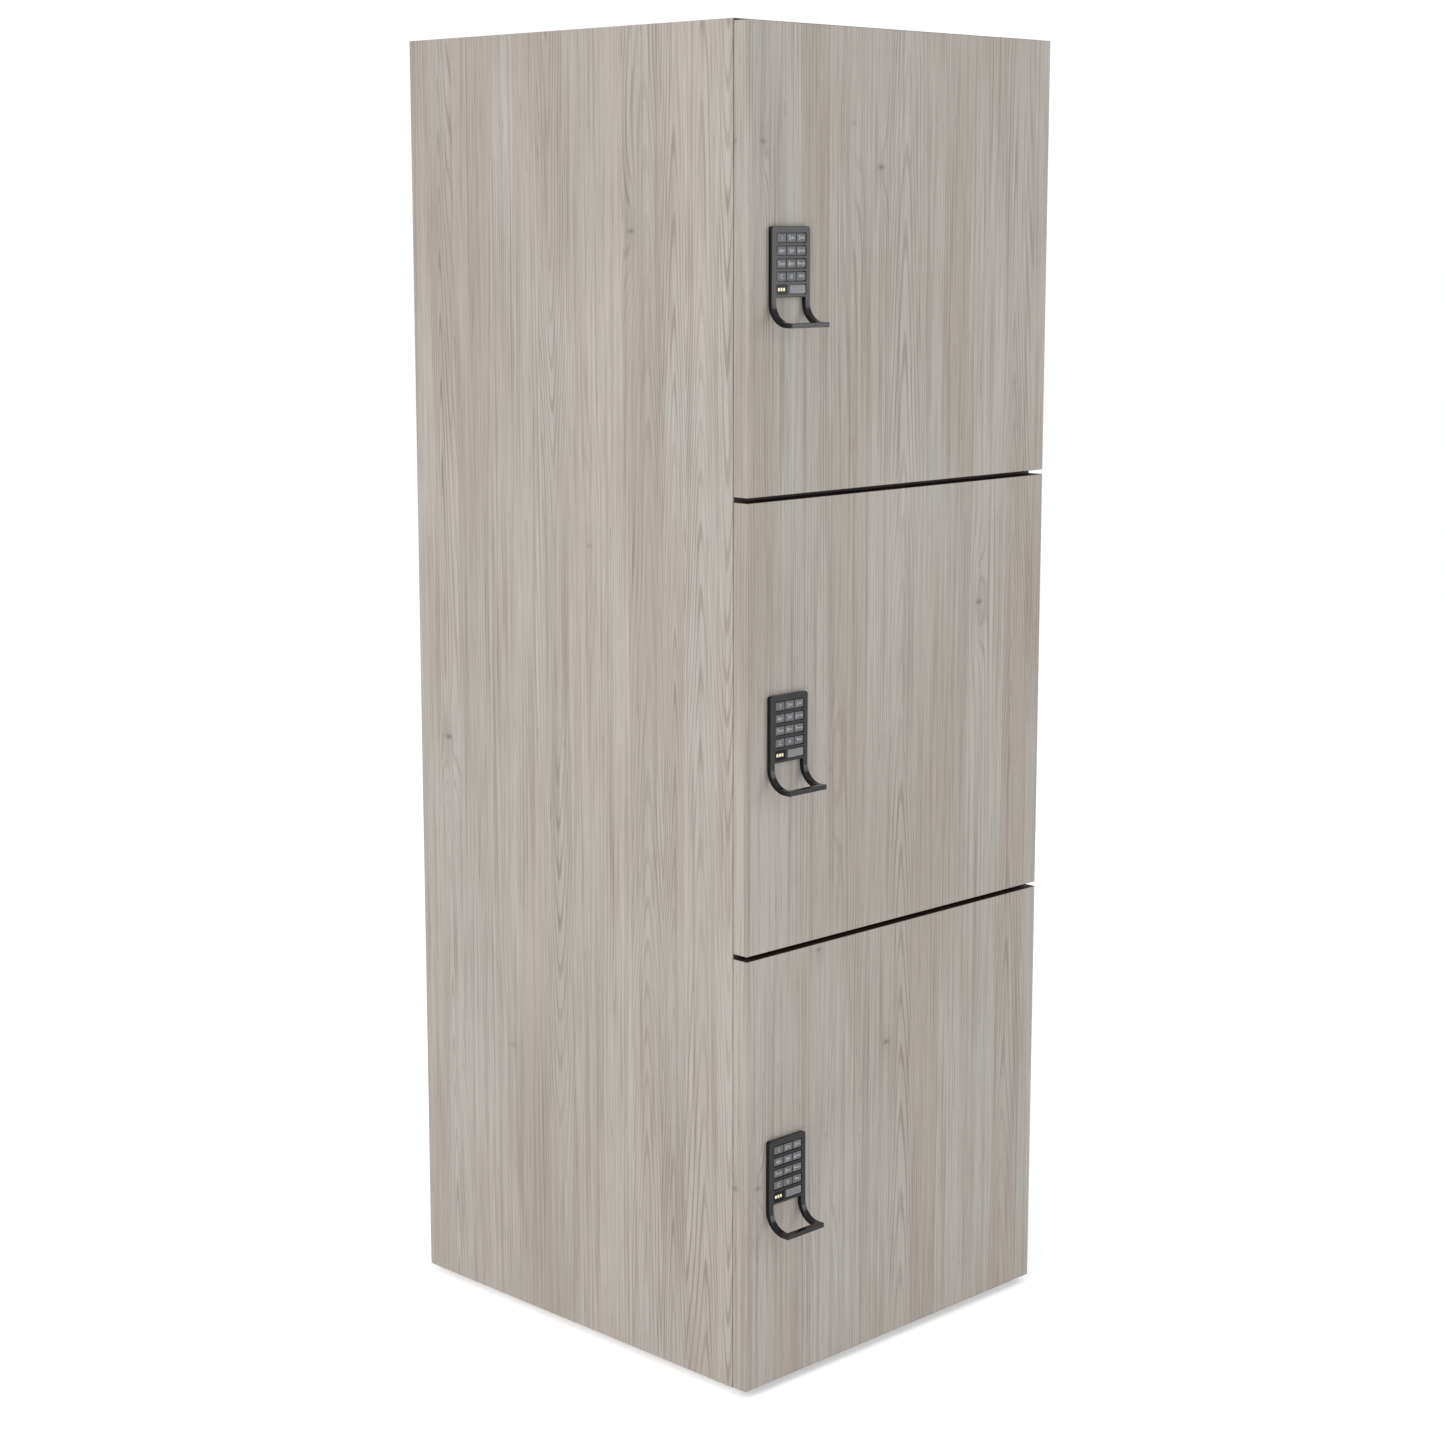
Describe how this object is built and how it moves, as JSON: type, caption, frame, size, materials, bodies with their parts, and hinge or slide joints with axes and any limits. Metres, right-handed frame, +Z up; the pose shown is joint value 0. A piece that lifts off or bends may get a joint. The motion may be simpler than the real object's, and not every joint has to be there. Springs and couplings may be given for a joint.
{
  "type": "coin operated locker",
  "caption": "Upright wood-grain locker with full-overlay hinged doors, each with a keypad lock, a deadbolt and a bent pull handle.",
  "frame": {"origin": "on the floor, under the middle of the whole object's box (pull handles and hinge barrels included)", "axes": "+Z up, doors face -Y, hinges on the +X side, back towards +Y"},
  "size_m": [0.4664, 0.5384, 1.3796],
  "materials": {
    "side_laminate": "wood-grain laminate, satin",
    "door_laminate": "wood-grain laminate, satin",
    "inside_laminate": "wood-grain laminate, satin",
    "edge_band": "dark banding, matt",
    "back_board": "laminate, matt",
    "hinge_steel": "brushed",
    "strike_steel": "brushed",
    "screw_steel": "zinc plated",
    "bolt_steel": "machined",
    "glide_nylon": "moulded",
    "lock_casting": "satin black",
    "rear_case": "fine moulded texture",
    "key_cap": "satin dark grey",
    "key_legend": "printed light grey",
    "display_window": "black gloss",
    "display_lamp": "warm white lamp",
    "badge_plate": "satin grey"
  },
  "bodies": {
    "carcass": {"left_side_panel": "side_laminate", "right_side_panel": "side_laminate", "top_panel": "inside_laminate", "bottom_panel": "inside_laminate", "fixed_shelves": "inside_laminate", "back_panel": "back_board", "levelling_glides": "glide_nylon", "hinge_frame_leaves": "hinge_steel", "strike_plates": "strike_steel"},
    "door_1": {"door_1_panel": "door_laminate", "door_1_hinge_leaves": "hinge_steel", "lock_1_pull_housing": "lock_casting", "lock_1_rear_unit": "rear_case"},
    "bolt_1": {"lock_1_bolt": "bolt_steel"},
    "key_1_1": {"lock_1_key_1": "key_cap"},
    "key_1_2": {"lock_1_key_2": "key_cap"},
    "key_1_3": {"lock_1_key_3": "key_cap"},
    "key_1_4": {"lock_1_key_4": "key_cap"},
    "key_1_5": {"lock_1_key_5": "key_cap"},
    "key_1_6": {"lock_1_key_6": "key_cap"},
    "key_1_7": {"lock_1_key_7": "key_cap"},
    "key_1_8": {"lock_1_key_8": "key_cap"},
    "key_1_9": {"lock_1_key_9": "key_cap"},
    "key_1_clear": {"lock_1_key_clear": "key_cap"},
    "key_1_0": {"lock_1_key_0": "key_cap"},
    "key_1_enter": {"lock_1_key_enter": "key_cap"},
    "door_2": {"door_2_panel": "door_laminate", "door_2_hinge_leaves": "hinge_steel", "lock_2_pull_housing": "lock_casting", "lock_2_rear_unit": "rear_case"},
    "bolt_2": {"lock_2_bolt": "bolt_steel"},
    "key_2_1": {"lock_2_key_1": "key_cap"},
    "key_2_2": {"lock_2_key_2": "key_cap"},
    "key_2_3": {"lock_2_key_3": "key_cap"},
    "key_2_4": {"lock_2_key_4": "key_cap"},
    "key_2_5": {"lock_2_key_5": "key_cap"},
    "key_2_6": {"lock_2_key_6": "key_cap"},
    "key_2_7": {"lock_2_key_7": "key_cap"},
    "key_2_8": {"lock_2_key_8": "key_cap"},
    "key_2_9": {"lock_2_key_9": "key_cap"},
    "key_2_clear": {"lock_2_key_clear": "key_cap"},
    "key_2_0": {"lock_2_key_0": "key_cap"},
    "key_2_enter": {"lock_2_key_enter": "key_cap"},
    "door_3": {"door_3_panel": "door_laminate", "door_3_hinge_leaves": "hinge_steel", "lock_3_pull_housing": "lock_casting", "lock_3_rear_unit": "rear_case"},
    "bolt_3": {"lock_3_bolt": "bolt_steel"},
    "key_3_1": {"lock_3_key_1": "key_cap"},
    "key_3_2": {"lock_3_key_2": "key_cap"},
    "key_3_3": {"lock_3_key_3": "key_cap"},
    "key_3_4": {"lock_3_key_4": "key_cap"},
    "key_3_5": {"lock_3_key_5": "key_cap"},
    "key_3_6": {"lock_3_key_6": "key_cap"},
    "key_3_7": {"lock_3_key_7": "key_cap"},
    "key_3_8": {"lock_3_key_8": "key_cap"},
    "key_3_9": {"lock_3_key_9": "key_cap"},
    "key_3_clear": {"lock_3_key_clear": "key_cap"},
    "key_3_0": {"lock_3_key_0": "key_cap"},
    "key_3_enter": {"lock_3_key_enter": "key_cap"}
  },
  "joints": [
    {"name": "door_1_hinge", "type": "hinge", "parent": "carcass", "child": "door_1", "pos_m": [0.22873, -0.21843, 1.1511], "axis": [0, 0, 1], "range_deg": [0, 180]},
    {"name": "bolt_1_slide", "type": "slide", "parent": "door_1", "child": "bolt_1", "axis": [-1, 0, 0], "range_m": [0, 0.011]},
    {"name": "key_1_1_press", "type": "slide", "parent": "door_1", "child": "key_1_1", "axis": [0, 1, 0], "range_m": [0, 0.0008], "stiffness_N_per_m": 250, "springref_m": -0.0016},
    {"name": "key_1_2_press", "type": "slide", "parent": "door_1", "child": "key_1_2", "axis": [0, 1, 0], "range_m": [0, 0.0008], "stiffness_N_per_m": 250, "springref_m": -0.0016},
    {"name": "key_1_3_press", "type": "slide", "parent": "door_1", "child": "key_1_3", "axis": [0, 1, 0], "range_m": [0, 0.0008], "stiffness_N_per_m": 250, "springref_m": -0.0016},
    {"name": "key_1_4_press", "type": "slide", "parent": "door_1", "child": "key_1_4", "axis": [0, 1, 0], "range_m": [0, 0.0008], "stiffness_N_per_m": 250, "springref_m": -0.0016},
    {"name": "key_1_5_press", "type": "slide", "parent": "door_1", "child": "key_1_5", "axis": [0, 1, 0], "range_m": [0, 0.0008], "stiffness_N_per_m": 250, "springref_m": -0.0016},
    {"name": "key_1_6_press", "type": "slide", "parent": "door_1", "child": "key_1_6", "axis": [0, 1, 0], "range_m": [0, 0.0008], "stiffness_N_per_m": 250, "springref_m": -0.0016},
    {"name": "key_1_7_press", "type": "slide", "parent": "door_1", "child": "key_1_7", "axis": [0, 1, 0], "range_m": [0, 0.0008], "stiffness_N_per_m": 250, "springref_m": -0.0016},
    {"name": "key_1_8_press", "type": "slide", "parent": "door_1", "child": "key_1_8", "axis": [0, 1, 0], "range_m": [0, 0.0008], "stiffness_N_per_m": 250, "springref_m": -0.0016},
    {"name": "key_1_9_press", "type": "slide", "parent": "door_1", "child": "key_1_9", "axis": [0, 1, 0], "range_m": [0, 0.0008], "stiffness_N_per_m": 250, "springref_m": -0.0016},
    {"name": "key_1_clear_press", "type": "slide", "parent": "door_1", "child": "key_1_clear", "axis": [0, 1, 0], "range_m": [0, 0.0008], "stiffness_N_per_m": 250, "springref_m": -0.0016},
    {"name": "key_1_0_press", "type": "slide", "parent": "door_1", "child": "key_1_0", "axis": [0, 1, 0], "range_m": [0, 0.0008], "stiffness_N_per_m": 250, "springref_m": -0.0016},
    {"name": "key_1_enter_press", "type": "slide", "parent": "door_1", "child": "key_1_enter", "axis": [0, 1, 0], "range_m": [0, 0.0008], "stiffness_N_per_m": 250, "springref_m": -0.0016},
    {"name": "door_2_hinge", "type": "hinge", "parent": "carcass", "child": "door_2", "pos_m": [0.22873, -0.21843, 0.6931], "axis": [0, 0, 1], "range_deg": [0, 180]},
    {"name": "bolt_2_slide", "type": "slide", "parent": "door_2", "child": "bolt_2", "axis": [-1, 0, 0], "range_m": [0, 0.011]},
    {"name": "key_2_1_press", "type": "slide", "parent": "door_2", "child": "key_2_1", "axis": [0, 1, 0], "range_m": [0, 0.0008], "stiffness_N_per_m": 250, "springref_m": -0.0016},
    {"name": "key_2_2_press", "type": "slide", "parent": "door_2", "child": "key_2_2", "axis": [0, 1, 0], "range_m": [0, 0.0008], "stiffness_N_per_m": 250, "springref_m": -0.0016},
    {"name": "key_2_3_press", "type": "slide", "parent": "door_2", "child": "key_2_3", "axis": [0, 1, 0], "range_m": [0, 0.0008], "stiffness_N_per_m": 250, "springref_m": -0.0016},
    {"name": "key_2_4_press", "type": "slide", "parent": "door_2", "child": "key_2_4", "axis": [0, 1, 0], "range_m": [0, 0.0008], "stiffness_N_per_m": 250, "springref_m": -0.0016},
    {"name": "key_2_5_press", "type": "slide", "parent": "door_2", "child": "key_2_5", "axis": [0, 1, 0], "range_m": [0, 0.0008], "stiffness_N_per_m": 250, "springref_m": -0.0016},
    {"name": "key_2_6_press", "type": "slide", "parent": "door_2", "child": "key_2_6", "axis": [0, 1, 0], "range_m": [0, 0.0008], "stiffness_N_per_m": 250, "springref_m": -0.0016},
    {"name": "key_2_7_press", "type": "slide", "parent": "door_2", "child": "key_2_7", "axis": [0, 1, 0], "range_m": [0, 0.0008], "stiffness_N_per_m": 250, "springref_m": -0.0016},
    {"name": "key_2_8_press", "type": "slide", "parent": "door_2", "child": "key_2_8", "axis": [0, 1, 0], "range_m": [0, 0.0008], "stiffness_N_per_m": 250, "springref_m": -0.0016},
    {"name": "key_2_9_press", "type": "slide", "parent": "door_2", "child": "key_2_9", "axis": [0, 1, 0], "range_m": [0, 0.0008], "stiffness_N_per_m": 250, "springref_m": -0.0016},
    {"name": "key_2_clear_press", "type": "slide", "parent": "door_2", "child": "key_2_clear", "axis": [0, 1, 0], "range_m": [0, 0.0008], "stiffness_N_per_m": 250, "springref_m": -0.0016},
    {"name": "key_2_0_press", "type": "slide", "parent": "door_2", "child": "key_2_0", "axis": [0, 1, 0], "range_m": [0, 0.0008], "stiffness_N_per_m": 250, "springref_m": -0.0016},
    {"name": "key_2_enter_press", "type": "slide", "parent": "door_2", "child": "key_2_enter", "axis": [0, 1, 0], "range_m": [0, 0.0008], "stiffness_N_per_m": 250, "springref_m": -0.0016},
    {"name": "door_3_hinge", "type": "hinge", "parent": "carcass", "child": "door_3", "pos_m": [0.22873, -0.21843, 0.2351], "axis": [0, 0, 1], "range_deg": [0, 180]},
    {"name": "bolt_3_slide", "type": "slide", "parent": "door_3", "child": "bolt_3", "axis": [-1, 0, 0], "range_m": [0, 0.011]},
    {"name": "key_3_1_press", "type": "slide", "parent": "door_3", "child": "key_3_1", "axis": [0, 1, 0], "range_m": [0, 0.0008], "stiffness_N_per_m": 250, "springref_m": -0.0016},
    {"name": "key_3_2_press", "type": "slide", "parent": "door_3", "child": "key_3_2", "axis": [0, 1, 0], "range_m": [0, 0.0008], "stiffness_N_per_m": 250, "springref_m": -0.0016},
    {"name": "key_3_3_press", "type": "slide", "parent": "door_3", "child": "key_3_3", "axis": [0, 1, 0], "range_m": [0, 0.0008], "stiffness_N_per_m": 250, "springref_m": -0.0016},
    {"name": "key_3_4_press", "type": "slide", "parent": "door_3", "child": "key_3_4", "axis": [0, 1, 0], "range_m": [0, 0.0008], "stiffness_N_per_m": 250, "springref_m": -0.0016},
    {"name": "key_3_5_press", "type": "slide", "parent": "door_3", "child": "key_3_5", "axis": [0, 1, 0], "range_m": [0, 0.0008], "stiffness_N_per_m": 250, "springref_m": -0.0016},
    {"name": "key_3_6_press", "type": "slide", "parent": "door_3", "child": "key_3_6", "axis": [0, 1, 0], "range_m": [0, 0.0008], "stiffness_N_per_m": 250, "springref_m": -0.0016},
    {"name": "key_3_7_press", "type": "slide", "parent": "door_3", "child": "key_3_7", "axis": [0, 1, 0], "range_m": [0, 0.0008], "stiffness_N_per_m": 250, "springref_m": -0.0016},
    {"name": "key_3_8_press", "type": "slide", "parent": "door_3", "child": "key_3_8", "axis": [0, 1, 0], "range_m": [0, 0.0008], "stiffness_N_per_m": 250, "springref_m": -0.0016},
    {"name": "key_3_9_press", "type": "slide", "parent": "door_3", "child": "key_3_9", "axis": [0, 1, 0], "range_m": [0, 0.0008], "stiffness_N_per_m": 250, "springref_m": -0.0016},
    {"name": "key_3_clear_press", "type": "slide", "parent": "door_3", "child": "key_3_clear", "axis": [0, 1, 0], "range_m": [0, 0.0008], "stiffness_N_per_m": 250, "springref_m": -0.0016},
    {"name": "key_3_0_press", "type": "slide", "parent": "door_3", "child": "key_3_0", "axis": [0, 1, 0], "range_m": [0, 0.0008], "stiffness_N_per_m": 250, "springref_m": -0.0016},
    {"name": "key_3_enter_press", "type": "slide", "parent": "door_3", "child": "key_3_enter", "axis": [0, 1, 0], "range_m": [0, 0.0008], "stiffness_N_per_m": 250, "springref_m": -0.0016}
  ]
}
